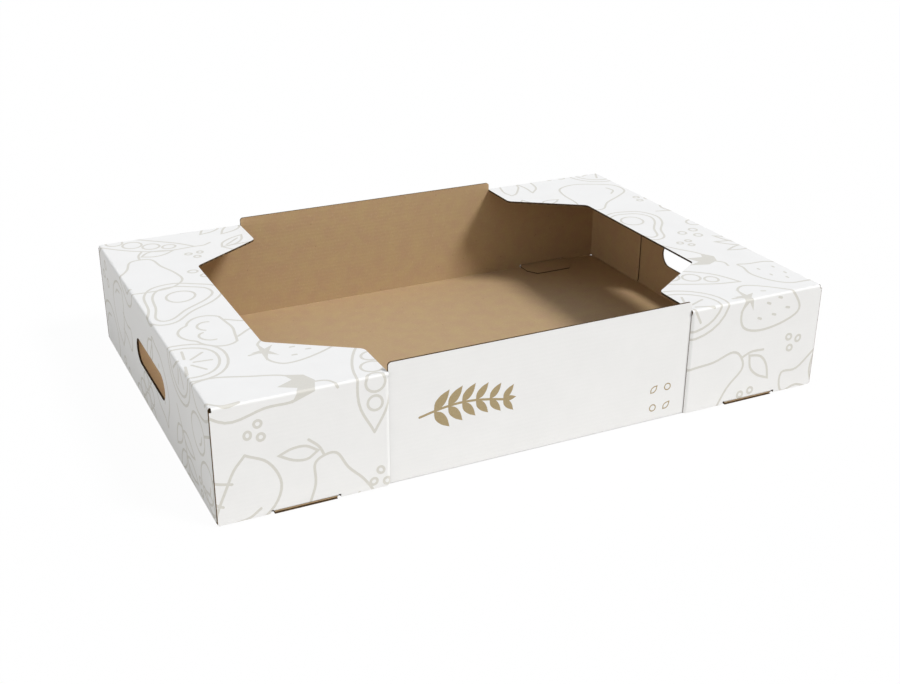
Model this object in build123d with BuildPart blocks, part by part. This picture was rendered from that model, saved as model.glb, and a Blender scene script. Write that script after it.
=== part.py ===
"""Produce tray folded from one die-cut sheet of corrugated board.

The sheet is bent round the tray in wraps that cross each other:

end wrap      bottom, the two end walls with their hand holes, and the shelf at the top of each
shelf wrap    the full width of the shelves, and the outer flaps that hang from their sides
side wrap     bottom again, and the two long walls with their raised middles
corner wrap   the ends of the long walls, turned in behind the end walls and glued there

A tab at the foot of each outer flap is bent in through a slot at the long wall's crease.
The origin is on the ground under the middle of the tray, X runs along it and Z is up.
Sizes are in millimetres.
"""
import os

from build123d import *

os.makedirs("parts", exist_ok=True)

# Board and creases
board = 2.0
crease_inside = 0.3
layer_gap = 0.2

# Tray, measured over the end walls, over the long walls and up to the shelves
tray_length = 600.0
tray_width = 400.0
tray_height = 106.0

# Raised middle of each long wall
raised_length = 300.0
raised_step = 8.0
raised_corner = 3.0

# Shelf: its depth at the hand hole, and the nose that widens it beside each long wall
shelf_depth = 76.0
nose_edge = 50.0
nose_slant = 50.0
shelf_corner = 8.0

# Hand hole in each end wall
hand_hole_length = 106.0
hand_hole_height = 26.0
hand_hole_level = 53.0

# Corner flap, from the outside of the long wall to its free edge
corner_flap_reach = 105.0
corner_flap_corner = 4.0

# Outer flap, and the locking tab from the flap's face to its tip
flap_foot = 1.0
tab_width = 60.0
tab_reach = 34.0
tab_taper = 8.0
tab_taper_run = 12.0
tab_corner = 2.0

# Cut-outs that let the creases meet without tearing
crease_relief = 1.4
crease_relief_inset = 1.1
crease_relief_level = 1.8
notch_drop = 1.0
foot_relief = 2.2

# Worked out from the sizes above
crease_outside = crease_inside + board
tuck_clearance = layer_gap + crease_inside
half_length = tray_length / 2
half_width = tray_width / 2
outer_half_width = half_width + layer_gap + board
end_half_width = outer_half_width - crease_outside
corner_half_length = half_length - board - layer_gap
wall_half_length = corner_half_length - crease_outside
raised_half = raised_length / 2
raised_top = tray_height + raised_step
tuck_low = board + tuck_clearance
tuck_high = tray_height - board - tuck_clearance
tab_centre = (half_length + raised_half) / 2
foot_notch = crease_outside + notch_drop
tab_half = tab_width / 2
tab_relief_place = tab_half - crease_relief_inset
tab_low = board + layer_gap
tab_tip = outer_half_width - tab_reach
slot_top = tab_low + board + tuck_clearance
lip_inner = half_width - crease_outside
lip_outer = outer_half_width - layer_gap
overrun = board


def wrap_section(length, low, high):
    """Sketch the board bent once round a rectangle, with the creases' radii at its folds."""
    with Locations((0, (low + high) / 2)):
        RectangleRounded(length, high - low, crease_outside)
        RectangleRounded(
            length - 2 * board,
            high - low - 2 * board,
            crease_inside,
            mode=Mode.SUBTRACT,
        )


# Mouth of the tray: what the shelves leave open, seen from above
with BuildPart() as mouth:
    with BuildSketch(Plane.XY.offset(tray_height - board - overrun)) as mouth_outline:
        with BuildLine():
            Polyline(
                (0, outer_half_width),
                (raised_half, outer_half_width),
                (raised_half, half_width - nose_edge),
                (half_length - shelf_depth, half_width - nose_edge - nose_slant),
                (half_length - shelf_depth, 0),
                (0, 0),
                close=True,
            )
        make_face()
        for corner in mouth_outline.vertices().group_by(Axis.Y)[1:-1]:
            fillet(corner, shelf_corner)
        mirror(about=Plane.YZ)
        mirror(about=Plane.XZ)
    extrude(amount=board + 2 * overrun)

# End wrap: bottom, end walls and shelves in one band, as wide as the end walls
with BuildPart() as end_wrap:
    with BuildSketch(Plane.XZ):
        wrap_section(tray_length, 0, tray_height)
    extrude(amount=end_half_width, both=True)

    # The bottom stays narrower than the end walls, because its long edges are creased
    with BuildSketch(Plane.YZ):
        with Locations((half_width, 0), (-half_width, 0)):
            Rectangle(2 * crease_outside, 2 * foot_notch)
    extrude(amount=half_length, both=True, mode=Mode.SUBTRACT)

    with BuildSketch(Plane.YZ):
        with Locations((0, hand_hole_level)):
            SlotOverall(hand_hole_length, hand_hole_height)
    extrude(amount=half_length, both=True, mode=Mode.SUBTRACT)
    add(mouth.part, mode=Mode.SUBTRACT)

# Side wrap: bottom and long walls, trimmed to the walls' outline seen from the side
with BuildPart() as side_wrap:
    with BuildSketch(Plane.YZ):
        wrap_section(tray_width, 0, raised_top + crease_outside + board)
    extrude(amount=wall_half_length, both=True)

    with BuildSketch(Plane.XZ):
        Rectangle(2 * wall_half_length, tuck_high, align=(Align.CENTER, Align.MIN))
        with Locations((0, raised_top / 2)):
            RectangleRounded(raised_length - 2 * layer_gap, raised_top, raised_corner)
    extrude(amount=half_width, both=True, mode=Mode.INTERSECT)

    # Slot for each tab, cut on three sides so that its waste stays flat as a lip of the bottom
    with BuildSketch():
        with GridLocations(2 * tab_centre, tray_width, 2, 2):
            Rectangle(tab_width + 2 * layer_gap, 2 * crease_outside)
    extrude(amount=slot_top, mode=Mode.SUBTRACT)

    with BuildSketch():
        with GridLocations(2 * tab_centre, lip_inner + lip_outer, 2, 2):
            Rectangle(2 * (tab_relief_place - crease_relief - layer_gap), lip_outer - lip_inner)
    extrude(amount=board)

# Corner wrap: corner flaps turned in from the ends of the long walls
with BuildPart() as corner_wrap:
    with BuildSketch(Plane.XY.offset(tuck_low)):
        RectangleRounded(2 * corner_half_length, tray_width, crease_outside)
        RectangleRounded(
            2 * (corner_half_length - board),
            tray_width - 2 * board,
            crease_inside,
            mode=Mode.SUBTRACT,
        )
        Rectangle(2 * wall_half_length, tray_width, mode=Mode.SUBTRACT)
    extrude(amount=tuck_high - tuck_low)

    with BuildSketch(Plane.YZ) as corner_flap_outline:
        with Locations((0, (tuck_low + tuck_high) / 2)):
            with GridLocations(tray_width - corner_flap_reach, 0, 2, 1):
                Rectangle(corner_flap_reach, tuck_high - tuck_low)
        for free_edge in corner_flap_outline.vertices().group_by(Axis.X)[1:-1]:
            fillet(free_edge, corner_flap_corner)
    extrude(amount=corner_half_length, both=True, mode=Mode.INTERSECT)

# Locking tabs: the foot of each outer flap, bent in over the bottom
with BuildPart() as tabs:
    with BuildSketch(Plane.YZ):
        wrap_section(2 * outer_half_width, tab_low, tray_height)
    extrude(amount=half_length, both=True)

    with BuildSketch(Plane.XY.offset(tab_low)) as tab_outline:
        with BuildLine():
            Polyline(
                (tab_centre - tab_half, outer_half_width),
                (tab_centre - tab_half, tab_tip + tab_taper_run),
                (tab_centre - tab_half + tab_taper, tab_tip),
                (tab_centre + tab_half - tab_taper, tab_tip),
                (tab_centre + tab_half, tab_tip + tab_taper_run),
                (tab_centre + tab_half, outer_half_width),
                close=True,
            )
        make_face()
        fillet(tab_outline.vertices().group_by(Axis.Y)[0], tab_corner)
        mirror(about=Plane.YZ)
        mirror(about=Plane.XZ)
    extrude(amount=crease_outside, mode=Mode.INTERSECT)

# Shelf wrap: shelves with their outer flaps, trimmed to the flaps' outline seen from the side
with BuildPart() as shelf_wrap:
    with BuildSketch(Plane.YZ):
        wrap_section(2 * outer_half_width, flap_foot - crease_outside - board, tray_height)
    extrude(amount=half_length, both=True)

    with BuildSketch(Plane.XZ):
        with BuildLine():
            Polyline(
                (raised_half, flap_foot),
                (raised_half, tray_height),
                (half_length - crease_outside, tray_height),
                (half_length - crease_outside, tray_height - crease_outside - notch_drop),
                (half_length, tray_height - crease_outside - notch_drop),
                (half_length, flap_foot + crease_relief),
                (half_length - crease_relief, flap_foot),
                close=True,
            )
        make_face()
        with Locations((tab_centre, flap_foot)):
            Rectangle(tab_width, 2 * (tab_low + crease_outside - flap_foot), mode=Mode.SUBTRACT)
        mirror(about=Plane.YZ)
    extrude(amount=outer_half_width, both=True, mode=Mode.INTERSECT)
    add(mouth.part, mode=Mode.SUBTRACT)
    add(tabs.part)

    # Round relief at both ends of each tab's crease
    with BuildSketch(Plane.front.offset(lip_inner), Plane.back.offset(lip_inner)):
        with Locations((-tab_centre, crease_relief_level), (tab_centre, crease_relief_level)):
            with GridLocations(2 * tab_relief_place, 0, 2, 1):
                Circle(crease_relief)
    extrude(amount=outer_half_width - lip_inner + overrun, mode=Mode.SUBTRACT)

# The whole sheet, folded and locked
with BuildPart() as folded_tray:
    add(end_wrap.part)
    add(side_wrap.part)
    add(corner_wrap.part)

    # Relief where the creases of bottom, long wall and corner flap run together
    with BuildSketch():
        with GridLocations(
            2 * (corner_half_length - crease_relief),
            2 * (half_width - crease_relief),
            2,
            2,
        ):
            Circle(foot_relief)
    extrude(amount=foot_notch, mode=Mode.SUBTRACT)

    add(shelf_wrap.part)

folded_tray.part.label = "folded_tray"
export_step(folded_tray.part, "parts/folded_tray.step")
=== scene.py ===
"""Looks of a produce tray folded from one printed sheet of corrugated board.

The sheet is drawn flat first, as its die cuts it: u runs along the tray and v across it, both in
millimetres from the middle of the bottom. The print and the papers of the board are laid on that
blank, and its creases then bend it round the frame, so a printed line runs on over a fold.
"""
import logging
import math
import random
from collections.abc import Callable, Iterable, Sequence
from dataclasses import dataclass, field, replace
from enum import Enum

import bpy
import numpy as np
from mathutils import Matrix, Vector
from mathutils.geometry import convex_hull_2d, delaunay_2d_cdt
from mathutils.kdtree import KDTree


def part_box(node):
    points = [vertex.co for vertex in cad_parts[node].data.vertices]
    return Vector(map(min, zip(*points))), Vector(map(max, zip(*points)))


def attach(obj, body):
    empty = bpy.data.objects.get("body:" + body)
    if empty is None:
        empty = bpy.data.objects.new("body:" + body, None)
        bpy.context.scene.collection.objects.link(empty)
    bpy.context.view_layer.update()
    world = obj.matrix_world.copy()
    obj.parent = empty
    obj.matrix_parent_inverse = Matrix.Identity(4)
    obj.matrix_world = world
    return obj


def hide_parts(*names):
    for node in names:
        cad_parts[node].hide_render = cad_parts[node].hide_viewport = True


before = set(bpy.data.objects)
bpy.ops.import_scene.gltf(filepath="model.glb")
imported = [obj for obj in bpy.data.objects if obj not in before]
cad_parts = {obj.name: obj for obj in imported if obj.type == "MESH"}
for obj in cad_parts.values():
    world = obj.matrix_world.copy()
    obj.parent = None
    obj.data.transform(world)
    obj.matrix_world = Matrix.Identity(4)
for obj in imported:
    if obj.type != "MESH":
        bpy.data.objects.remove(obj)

MM = 0.001
NODE = "folded_tray"
FLAT_MAP = "blank"
WHITE = "FFFFFF"
QUARTER = math.pi / 2
TURN = 2 * math.pi
TINY = 1e-9

log = logging.getLogger("tray")

Pair = tuple[float, float]
Point = Pair
Depth = Callable[[np.ndarray], np.ndarray]


def linear(hex_colour: str) -> tuple[float, float, float, float]:
    """Turns an sRGB hex colour into linear RGBA.

    Args:
        hex_colour: Six hex digits.

    Returns:
        Linear red, green, blue and an alpha of one.
    """
    values = [int(hex_colour[i : i + 2], 16) / 255 for i in (0, 2, 4)]
    red, green, blue = [c / 12.92 if c <= 0.04045 else ((c + 0.055) / 1.055) ** 2.4 for c in values]
    return red, green, blue, 1.0


def add_node(
    tree: bpy.types.NodeTree,
    kind: str,
    inputs: dict[str | int, object] | None = None,
    **settings: object,
) -> bpy.types.Node:
    """Adds a node with its settings and links.

    Args:
        tree: Node tree that gets the node.
        kind: Blender's type name of the node.
        inputs: Value of each socket by name or number; an output socket is linked to it.
        **settings: Properties of the node.

    Returns:
        The new node.
    """
    node = tree.nodes.new(kind)
    for name, value in settings.items():
        setattr(node, name, value)
    for socket, value in (inputs or {}).items():
        if isinstance(value, bpy.types.NodeSocket):
            tree.links.new(value, node.inputs[socket])
        else:
            node.inputs[socket].default_value = value
    return node


def clear_tree(owner: bpy.types.Material | bpy.types.World) -> bpy.types.NodeTree:
    """Switches on the nodes of a material or the world and empties its tree.

    Args:
        owner: The material or world.

    Returns:
        Its empty tree.
    """
    owner.use_nodes = True
    owner.node_tree.nodes.clear()
    return owner.node_tree


def add_object(name: str, data: bpy.types.ID) -> bpy.types.Object:
    """Makes an object and links it to the scene.

    Args:
        name: Its name.
        data: Its mesh, lamp or camera.

    Returns:
        The object.
    """
    made = bpy.data.objects.new(name, data)
    bpy.context.scene.collection.objects.link(made)
    return made


def arc(centre: Point, radius: float, start: float, stop: float, steps: int) -> list[Point]:
    """Points of a round stretch.

    Args:
        centre: Centre of the arc.
        radius: Its radius.
        start: First angle in radians.
        stop: Last angle in radians; the sign of the difference gives the direction.
        steps: Number of chords.

    Returns:
        One point more than there are chords.
    """
    angles = [start + (stop - start) * k / steps for k in range(steps + 1)]
    return [(centre[0] + radius * math.cos(a), centre[1] + radius * math.sin(a)) for a in angles]


def rounded(corners: Sequence[tuple[float, float, float]], steps: int) -> list[Point]:
    """Walks an open path and rounds its corners.

    Args:
        corners: Place and radius of each corner; the radius of the two ends is not used.
        steps: Number of chords of each round corner.

    Returns:
        The points of the path.
    """
    path = [corners[0][:2]]
    for before, here, after in zip(corners, corners[1:], corners[2:]):
        corner = Vector(here[:2])
        if not here[2]:
            path.append(here[:2])
            continue
        inward = (Vector(before[:2]) - corner).normalized()
        onward = (Vector(after[:2]) - corner).normalized()
        half = inward.angle(onward) / 2
        centre = corner + (inward + onward).normalized() * here[2] / math.sin(half)
        first = corner + inward * here[2] / math.tan(half) - centre
        last = corner + onward * here[2] / math.tan(half) - centre
        start = math.atan2(first.y, first.x)
        turn = math.remainder(math.atan2(last.y, last.x) - start, TURN)
        path += arc(tuple(centre), here[2], start, start + turn, steps)
    return path + [corners[-1][:2]]


@dataclass(frozen=True)
class Board:
    """Fine single-wall board, and the creases that a scoring rule gives it, in millimetres.

    The die's rubber presses the board thin from the flaps' free edges inward, over press_run, and
    all over the locking tabs. Along the outer flaps' corner cuts, a narrow strip of the brown edge colour
    is painted on the white face as painted shade of the gap between flap and end wall.
    """

    thickness: float = 2.0
    liner: float = 0.25
    medium: float = 0.2
    pressed_edge: float = 0.5
    pressed_tab: float = 1.1
    press_run: float = 3.6
    press_steps: int = 4
    # Width of the painted shade strip along the outer flaps' corner cuts.
    gap_shade_width: float = 0.35
    flute_pitch: float = 4.2
    flute_steps: int = 5
    crease_inside: float = 0.3
    crease_steps: int = 8

    @property
    def crease_outside(self) -> float:
        """Radius of a crease on the printed side."""
        return self.crease_inside + self.thickness

    @property
    def crease_middle(self) -> float:
        """Radius of a crease halfway through the board, where it keeps its length."""
        return self.crease_inside + self.thickness / 2

    @property
    def crease_length(self) -> float:
        """Length of board that a quarter turn takes."""
        return QUARTER * self.crease_middle


@dataclass(frozen=True)
class TraySize:
    """Sizes of the folded tray: the first three are read off the frame, the rest are the die's."""

    half_length: float
    outer_half_width: float
    raised_top: float
    board: Board = Board()
    layer_gap: float = 0.2
    raised_step: float = 8.0
    raised_half: float = 150.0
    raised_corner: float = 3.0
    shelf_depth: float = 76.0
    nose_edge: float = 50.0
    nose_slant: float = 50.0
    shelf_corner: float = 8.0
    hand_hole_length: float = 106.0
    hand_hole_height: float = 26.0
    hand_hole_level: float = 53.0
    corner_flap_reach: float = 105.0
    corner_flap_corner: float = 4.0
    flap_foot: float = 1.0
    tab_half: float = 30.0
    tab_reach: float = 34.0
    tab_taper: float = 8.0
    tab_taper_run: float = 12.0
    tab_corner: float = 2.0
    crease_relief: float = 1.4
    crease_relief_inset: float = 1.1
    notch_drop: float = 1.0
    foot_relief: float = 2.2

    @classmethod
    def from_frame(cls) -> "TraySize":
        """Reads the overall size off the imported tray."""
        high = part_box(NODE)[1] / MM
        return cls(half_length=high.x, outer_half_width=high.y, raised_top=high.z)

    @property
    def half_width(self) -> float:
        """Half the width over the long walls, which the outer flaps cover."""
        return self.outer_half_width - self.board.thickness - self.layer_gap

    @property
    def height(self) -> float:
        """Height of the shelves."""
        return self.raised_top - self.raised_step

    @property
    def corner_half_length(self) -> float:
        """Half the length over the corner flaps, which lie inside the end walls."""
        return self.half_length - self.board.thickness - self.layer_gap

    @property
    def tuck(self) -> float:
        """Room that a piece tucked under a crease leaves it."""
        return self.board.thickness + self.layer_gap + self.board.crease_inside

    @property
    def tab_centre(self) -> float:
        """Place of a locking tab's middle along the tray."""
        return (self.half_length + self.raised_half) / 2

    @property
    def tab_low(self) -> float:
        """Level of a locking tab's underside, on the bottom."""
        return self.board.thickness + self.layer_gap

    @property
    def slot_top(self) -> float:
        """Level of the top of the slot that a tab goes through."""
        return self.tab_low + self.tuck


@dataclass(frozen=True)
class Strip:
    """Board seen edge on: straight runs, joined by quarter turns towards its inside."""

    runs: tuple[float, ...]
    board: Board

    def start(self, run: int) -> float:
        """Distance along the strip at which a run starts."""
        return sum(self.runs[:run]) + run * self.board.crease_length

    def trace(self, along: np.ndarray, depth: np.ndarray) -> tuple[np.ndarray, np.ndarray]:
        """Follows the strip round its turns.

        Args:
            along: Distances along the strip; past the last run it goes straight on.
            depth: Distances in from the printed face.

        Returns:
            Distances forward and inward from the strip's start.
        """
        outside = self.board.crease_outside
        forward = along.copy()
        inward = depth.copy()
        at = np.zeros(2)
        for k, run in enumerate(self.runs):
            heading = np.array([round(math.cos(k * QUARTER)), round(math.sin(k * QUARTER))], float)
            side = np.array([-heading[1], heading[0]])
            past = along - self.start(k)
            forward = np.where(past > 0, at[0] + past * heading[0] + depth * side[0], forward)
            inward = np.where(past > 0, at[1] + past * heading[1] + depth * side[1], inward)
            if k == len(self.runs) - 1:
                break
            centre = at + run * heading + outside * side
            angle = k * QUARTER + (past - run) / self.board.crease_middle
            forward = np.where(past > run, centre[0] + (outside - depth) * np.sin(angle), forward)
            inward = np.where(past > run, centre[1] - (outside - depth) * np.cos(angle), inward)
            at = centre + outside * heading
        return forward, inward


@dataclass(frozen=True)
class Crease:
    """A crease in one quarter of the blank, and mirrored in the others."""

    along_u: bool
    start: float
    low: float
    high: float

    def lines(self, board: Board) -> list[tuple[Point, Point]]:
        """Lines across which the bend is stepped, in all four quarters.

        Args:
            board: The board that is creased.

        Returns:
            The two ends of each line.
        """
        found = []
        for k in range(board.crease_steps + 1):
            place = self.start + board.crease_length * k / board.crease_steps
            for sign in (-1, 1):
                for low, high in ((self.low, self.high), (-self.high, -self.low)):
                    ends = ((low, sign * place), (high, sign * place))
                    found.append(ends if self.along_u else tuple((b, a) for a, b in ends))
        return found


class Paper(Enum):
    """Material slots of the board's mesh; where printed shapes overlap, the higher one shows."""

    COATED = 0
    LINE_INK = 1
    SPOT_INK = 2
    FLUTING = 3
    KRAFT = 4


@dataclass(frozen=True)
class Patch:
    """A shape on the printed face, and the paper or ink that it shows."""

    outline: tuple[Point, ...]
    paper: Paper


@dataclass
class FlatMesh:
    """Triangles of the blank before it is folded, and the paper or ink on each."""

    points: np.ndarray
    triangles: np.ndarray
    papers: np.ndarray

    def rim(self) -> np.ndarray:
        """Edges with the board on their left and nothing on their right.

        Returns:
            Numbers of the two ends of each edge.
        """
        edges = self.triangles[:, [0, 1, 1, 2, 2, 0]].reshape(-1, 2)
        there = {(int(a), int(b)): None for a, b in edges}
        return np.array([edge for edge in there if edge[::-1] not in there])

    def loops(self) -> list[list[Point]]:
        """Closed edges of the board.

        Returns:
            Points of each, the outline first because it has the most.
        """
        onward = {int(a): int(b) for a, b in self.rim()}
        found = []
        while onward:
            loop = [next(iter(onward))]
            while loop[-1] in onward:
                loop.append(onward.pop(loop[-1]))
            found.append([tuple(map(float, self.points[k])) for k in loop[:-1]])
        return sorted(found, key=len, reverse=True)


class Blank:
    """The die-cut sheet: its outline, holes and creases, and how it folds."""

    kerf = 0.2
    margin = 0.1
    relief_before_end = 0.4
    corner_chords = 6
    round_chords = 18
    relief_gap_chords = 2
    inside_only = 1
    weld = 1e-4

    def __init__(self, size: TraySize) -> None:
        """Works out where each crease lies on the flat sheet.

        Args:
            size: Sizes of the folded tray.
        """
        self.size = size
        board = size.board
        outside = board.crease_outside
        hang = size.height - size.tab_low - 2 * outside
        self.end = Strip((size.half_length - outside, size.height - 2 * outside, 0.0), board)
        self.side = Strip((size.half_width - outside, 0.0), board)
        self.corner = Strip((size.corner_half_length - outside, 0.0), board)
        self.flap = Strip((size.outer_half_width - outside, 0.0), board)
        self.tab = Strip((size.outer_half_width - outside, hang, 0.0), board)

    def end_u(self, level: float) -> float:
        """Place on the blank of a level on an end wall."""
        return self.end.start(1) + level - self.size.board.crease_outside

    def shelf_u(self, place: float) -> float:
        """Place on the blank of a place along the tray on a shelf."""
        return self.end.start(2) + self.end.runs[0] - place

    def wall_v(self, level: float) -> float:
        """Place on the blank of a level on a long wall."""
        return self.side.start(1) + level - self.size.board.crease_outside

    def flap_v(self, level: float) -> float:
        """Place on the blank of a level on an outer flap."""
        return self.flap.start(1) + self.size.height - self.size.board.crease_outside - level

    def tab_v(self, across: float) -> float:
        """Place on the blank of a place across the tray on a locking tab."""
        return self.tab.start(2) + self.tab.runs[0] - across

    @property
    def mouth_u(self) -> float:
        """Place of the outer flaps' free edges, beside the tray's mouth."""
        return self.shelf_u(self.size.raised_half)

    @property
    def cut_u(self) -> float:
        """Place of the cut between an outer flap and a corner flap."""
        return self.shelf_u(self.size.half_length)

    @property
    def foot_v(self) -> float:
        """Place of an outer flap's foot."""
        return self.flap_v(self.size.flap_foot)

    @property
    def tab_u(self) -> float:
        """Place of a locking tab's middle."""
        return self.shelf_u(self.size.tab_centre)

    @property
    def tab_sides(self) -> Pair:
        """Places of a locking tab's two sides."""
        return self.tab_u - self.size.tab_half, self.tab_u + self.size.tab_half

    @property
    def tucked(self) -> Pair:
        """Places of a corner flap's low and high edges, which are tucked under the creases."""
        return self.wall_v(self.size.tuck), self.wall_v(self.size.height - self.size.tuck)

    @property
    def corner_flap_end(self) -> float:
        """Place of a corner flap's free edge."""
        return self.corner.start(1) + (self.size.corner_flap_reach - self.size.board.crease_outside)

    @staticmethod
    def in_quarters(shape: Sequence[Point]) -> list[tuple[Point, ...]]:
        """Copies of a shape in all four quarters."""
        return [tuple((a * u, b * v) for u, v in shape) for a in (-1, 1) for b in (-1, 1)]

    def tab_side(self) -> list[Point]:
        """Cut between an outer flap's foot and its tab, with the round relief at the crease.

        Returns:
            Its points from the foot on, measured from the tab's middle.
        """
        size = self.size
        radius = size.crease_relief
        place = size.tab_half - size.crease_relief_inset
        outer = size.tab_half + self.kerf
        centre = (place, self.tab.start(2) - self.relief_before_end)
        kerf_end = self.tab.start(2) - size.board.crease_length
        far = math.acos((outer - place) / radius)
        near = math.acos((size.tab_half - place) / radius)
        side = [(outer, self.foot_v), *arc(centre, radius, far, -far, self.relief_gap_chords)]
        side += [(outer, kerf_end), (size.tab_half, kerf_end)]
        return side + arc(centre, radius, -near, near - TURN, self.round_chords)

    def tab_outline(self) -> list[Point]:
        """Foot of an outer flap round its tab.

        Returns:
            Its points, from the side of the mouth.
        """
        size = self.size
        side = self.tab_side()
        tip = self.tab_v(size.outer_half_width - size.tab_reach)
        end = [
            (*side[-1], 0.0),
            (size.tab_half, tip - size.tab_taper_run, 0.0),
            (size.tab_half - size.tab_taper, tip, size.tab_corner),
            (0.0, tip, 0.0),
        ]
        half = side + rounded(end, self.corner_chords)[1:-1]
        both = half + [(-a, b) for a, b in reversed(half)]
        return [(self.tab_u + a, b) for a, b in both]

    def quarter(self) -> list[Point]:
        """Outline of a quarter of the sheet.

        Returns:
            Its points, from the middle of a shelf to that of a long wall.
        """
        size = self.size
        edge = self.shelf_u(size.half_length - size.shelf_depth)
        nose = size.half_width - size.nose_edge
        shelf = [
            (edge, 0.0, 0.0),
            (edge, nose - size.nose_slant, size.shelf_corner),
            (self.mouth_u, nose, size.shelf_corner),
            (self.mouth_u, self.foot_v, 0.0),
        ]
        notch = self.flap.start(1) + size.notch_drop
        wall_foot = self.end.start(1) + size.notch_drop
        flap_edge = [
            (self.cut_u + size.crease_relief, self.foot_v),
            (self.cut_u, self.foot_v - size.crease_relief),
            (self.cut_u, notch),
            (self.end.start(2), notch),
            (self.end.start(2), self.flap.runs[0]),
            (wall_foot, self.flap.runs[0]),
            (wall_foot, self.side.runs[0]),
        ]
        tuck_low, tuck_high = self.tucked
        centre = (size.corner_half_length - size.crease_relief, size.half_width - size.crease_relief)
        low = math.asin((self.side.runs[0] - centre[1]) / size.foot_relief)
        high = math.asin((tuck_low - centre[1]) / size.foot_relief)
        relief = arc(centre, size.foot_relief, low, high - TURN, self.round_chords)
        raised = size.raised_half - size.layer_gap
        wall = [
            (*relief[-1], 0.0),
            (self.corner_flap_end, tuck_low, size.corner_flap_corner),
            (self.corner_flap_end, tuck_high, size.corner_flap_corner),
            (raised, tuck_high, 0.0),
            (raised, self.wall_v(size.raised_top), size.raised_corner),
            (0.0, self.wall_v(size.raised_top), 0.0),
        ]
        path = rounded(shelf, self.corner_chords) + self.tab_outline() + flap_edge
        return path + relief + rounded(wall, self.corner_chords)[1:]

    def outline(self) -> list[Point]:
        """Outline of the whole sheet.

        Returns:
            Its points, each once.
        """
        quarter = self.quarter()
        half = quarter + [(-u, v) for u, v in reversed(quarter)][1:]
        return half + [(-u, -v) for u, v in half][1:-1]

    def slot(self) -> list[Point]:
        """Slot for a tab, which leaves its waste flat as a lip of the bottom.

        Returns:
            Its outline in one quarter.
        """
        size = self.size
        outer = size.tab_half + size.layer_gap
        lip = size.tab_half - size.crease_relief_inset - size.crease_relief - size.layer_gap
        low = self.side.runs[0]
        high = self.wall_v(size.slot_top)
        tip = size.outer_half_width - size.layer_gap
        half = [(outer, high), (outer, low), (lip, low), (lip, tip)]
        both = half + [(-a, b) for a, b in reversed(half)]
        return [(size.tab_centre + a, b) for a, b in both]

    def holes(self) -> list[list[Point]]:
        """Slots and hand holes of the whole sheet.

        Returns:
            The outline of each.
        """
        size = self.size
        radius = size.hand_hole_height / 2
        reach = size.hand_hole_length / 2 - radius
        found = []
        for along in (-1, 1):
            for across in (-1, 1):
                found.append([(along * u, across * v) for u, v in self.slot()])
            place = along * self.end_u(size.hand_hole_level)
            upper = arc((place, reach), radius, 0.0, math.pi, self.round_chords)
            lower = arc((place, -reach), radius, math.pi, TURN, self.round_chords)
            found.append(upper + lower)
        return found

    def creases(self) -> list[Crease]:
        """Creases of one quarter.

        Returns:
            Those of end wall and shelf, outer flap and tab, long wall and corner flap.
        """
        turn = self.size.board.crease_length
        bottom, shelf, wall = self.side.runs[0], self.flap.runs[0], self.corner.runs[0]
        return [
            Crease(False, self.end.runs[0], -bottom, bottom),
            Crease(False, self.end.start(2) - turn, -shelf, shelf),
            Crease(True, shelf, self.end.start(2), self.mouth_u),
            Crease(True, self.tab.start(2) - turn, *self.tab_sides),
            Crease(True, bottom, -wall, wall),
            Crease(False, wall, *self.tucked),
        ]

    def cut(
        self,
        patches: Sequence[Patch],
        lines: Iterable[tuple[Point, Point]] = (),
        loops: Sequence[Sequence[Point]] | None = None,
    ) -> FlatMesh:
        """Triangulates the sheet, with its creases and print as edges of the triangles.

        Args:
            patches: Printed shapes.
            lines: More lines that have to be edges.
            loops: Outline and holes, if they have more points than the die's.

        Returns:
            The flat mesh.
        """
        points: list[Vector] = []
        faces: list[list[int]] = []
        edges: list[tuple[int, int]] = []
        contour, *holes = loops or [self.outline(), *self.holes()]
        for shape in [contour, *holes, *(patch.outline for patch in patches)]:
            turns = sum(a[0] * b[1] - b[0] * a[1] for a, b in zip(shape, [*shape[1:], shape[0]]))
            order = range(len(points), len(points) + len(shape))
            faces.append(list(order if turns > 0 else reversed(order)))
            points += [Vector(point) for point in shape]
        creases = [line for crease in self.creases() for line in crease.lines(self.size.board)]
        for ends in [*creases, *lines]:
            edges.append((len(points), len(points) + 1))
            points += [Vector(end) for end in ends]
        found = delaunay_2d_cdt(points, edges, faces, self.inside_only, self.weld, True)
        places, triangles, owners = found[0], found[2], found[5]
        first_patch = 1 + len(holes)
        kept, papers = [], []
        for triangle, ids in zip(triangles, owners):
            if 0 not in ids or any(0 < i < first_patch for i in ids):
                continue
            printed = [patches[i - first_patch].paper.value for i in ids if i >= first_patch]
            kept.append(triangle)
            papers.append(max(printed, default=Paper.COATED.value))
        used, numbers = np.unique(np.array(kept), return_inverse=True)
        flat = np.array([tuple(places[i]) for i in used], float)
        return FlatMesh(flat, numbers.reshape(-1, 3), np.array(papers))

    def fold(self, flat: np.ndarray, depth: np.ndarray) -> np.ndarray:
        """Bends points of the blank into the folded tray.

        Args:
            flat: Places on the blank, one row each.
            depth: Distance of each in from the printed face.

        Returns:
            Places in the row frame, in millimetres, one row each.
        """
        size = self.size
        u, v = np.abs(flat).T
        forward, rise = self.end.trace(u, depth)
        base = np.stack([forward, v, rise], 1)

        across, climb = self.side.trace(v, depth)
        side = np.stack([u, across, climb], 1)
        forward, inward = self.corner.trace(u, depth)
        corner = np.stack([forward, size.half_width - inward, climb], 1)

        on_tab = np.abs(u - self.tab_u) < size.tab_half + self.margin
        plain, tabbed = self.flap.trace(v, depth), self.tab.trace(v, depth)
        across = np.where(on_tab, tabbed[0], plain[0])
        drop = np.where(on_tab, tabbed[1], plain[1])
        place = self.end.start(2) + self.end.runs[0] - u
        flap = np.stack([place, across, size.height - drop], 1)

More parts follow.
